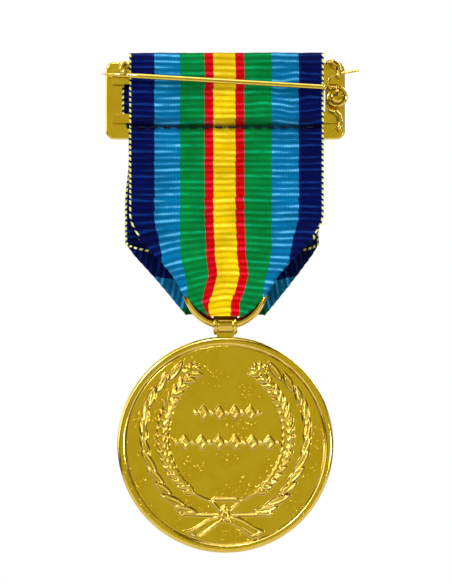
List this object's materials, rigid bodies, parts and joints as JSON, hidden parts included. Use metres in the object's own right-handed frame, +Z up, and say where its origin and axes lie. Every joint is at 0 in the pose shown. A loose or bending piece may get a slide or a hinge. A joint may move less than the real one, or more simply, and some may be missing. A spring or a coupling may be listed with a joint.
{
  "type": "military service medal",
  "caption": "Round gilt service medal on a striped folded ribbon, with ring, eye, slotted buckle and hinged pin brooch with catch.",
  "frame": {"origin": "centre of the buckle frame, on the plane in which the ribbon, ring and medal hang", "axes": "+Z up along the hanging ribbon, +Y out of the obverse, -Y out of the reverse that carries the pin, +X to the right when the reverse is seen"},
  "size_m": [0.0398, 0.007, 0.0773],
  "materials": {
    "gilt_plate": "polished gilt plate",
    "gilt_wire": "polished gilt wire",
    "gilt_struck": "struck, polished and gilded, with a finely grained field",
    "ribbon_weave": "ribbed silk-like weave in nine lengthwise stripes",
    "thread": "twisted sewing thread"
  },
  "bodies": {
    "brooch": {"buckle_frame": "gilt_plate", "ribbon_carrier": "gilt_plate", "carrier_studs": "gilt_plate", "catch_hook": "gilt_wire", "upper_keeper": "gilt_wire", "lower_keeper": "gilt_wire", "pivot_post": "gilt_wire", "spring_coil": "gilt_wire", "ribbon_wrap": "ribbon_weave", "seam_stitches": "thread"},
    "pin": {"pin_needle": "gilt_wire"},
    "ribbon": {"ribbon_back": "ribbon_weave", "ribbon_front": "ribbon_weave", "left_fold_flap": "ribbon_weave", "right_fold_flap": "ribbon_weave", "ring_loop": "ribbon_weave"},
    "ring": {"suspension_ring": "gilt_wire"},
    "medal": {"suspension_eye": "gilt_struck", "medal_disc": "gilt_struck"}
  },
  "joints": [
    {"name": "pin_open", "type": "hinge", "parent": "brooch", "child": "pin", "pos_m": [0.0153, -0.0026, 0.00181], "axis": [0, -0.7071, 0.7071], "range_deg": [0, 70]},
    {"name": "ribbon_swing", "type": "hinge", "parent": "brooch", "child": "ribbon", "pos_m": [0, 0, -0.0067], "axis": [1, 0, 0], "range_deg": [-35, 35]},
    {"name": "ring_turn", "type": "hinge", "parent": "ribbon", "child": "ring", "pos_m": [0, 0, -0.02875], "axis": [0, 1, 0], "range_deg": [-20, 20]},
    {"name": "medal_swing", "type": "hinge", "parent": "ring", "child": "medal", "pos_m": [0, 0, -0.03466], "axis": [1, 0, 0], "range_deg": [-60, 60]}
  ]
}
